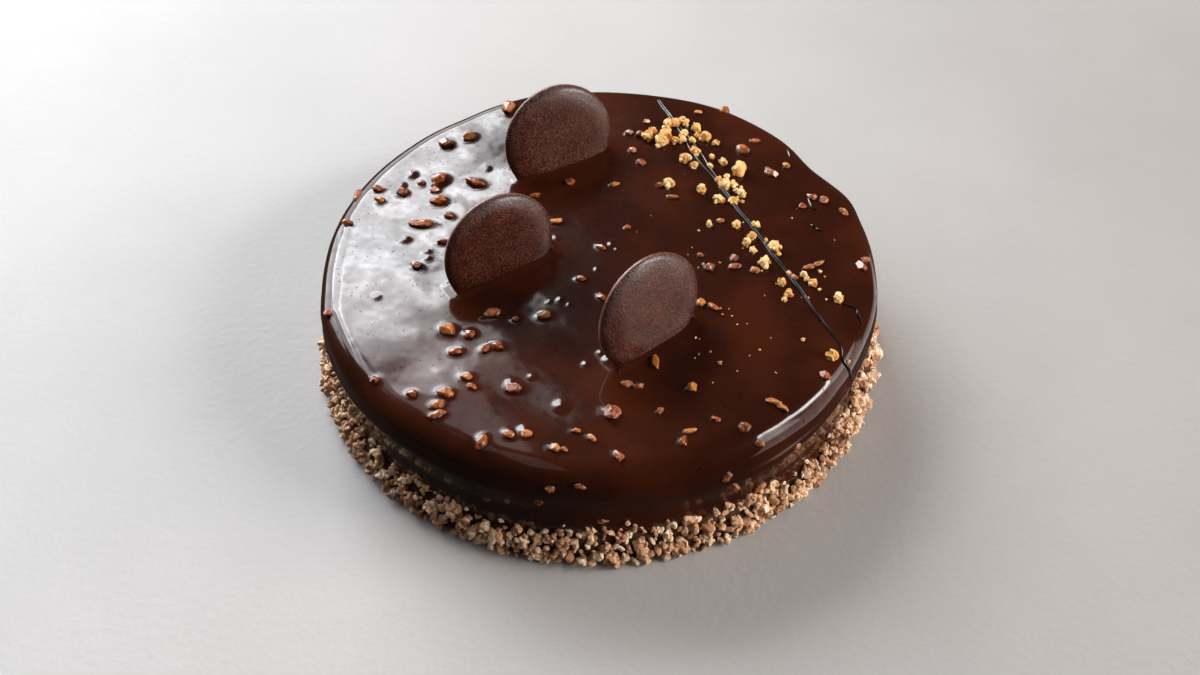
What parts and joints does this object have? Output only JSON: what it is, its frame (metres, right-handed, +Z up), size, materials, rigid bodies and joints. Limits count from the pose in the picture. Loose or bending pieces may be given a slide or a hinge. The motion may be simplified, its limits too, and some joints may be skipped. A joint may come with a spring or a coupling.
{
  "type": "chocolate hazelnut cake",
  "caption": "Round glazed chocolate cake with chopped nuts, upright chocolate discs, golden crumbs along a vanilla pod, and a crumble ring round the foot.",
  "frame": {"origin": "centre of the cake's flat underside", "axes": "+Z up through the cake; -Y towards the side that the discs' domed faces look to; +X to the side where the vanilla pod lies"},
  "size_m": [0.2102, 0.2092, 0.0785],
  "materials": {
    "glaze": "glossy poured chocolate glaze, dark reddish brown",
    "disc_chocolate": "fine-grained satin dark chocolate",
    "pod": "oily black dried vanilla pod",
    "crumble": "dry baked crumble, beige to golden",
    "nut": "chopped roasted nut under clear glaze, amber",
    "golden_crumb": "dry golden biscuit crumb"
  },
  "bodies": {
    "root": {"glazed_cake": "glaze", "chocolate_disc_back": "disc_chocolate", "chocolate_disc_left": "disc_chocolate", "chocolate_disc_front": "disc_chocolate", "vanilla_pod": "pod", "crumble_band": "crumble"}
  },
  "joints": []
}
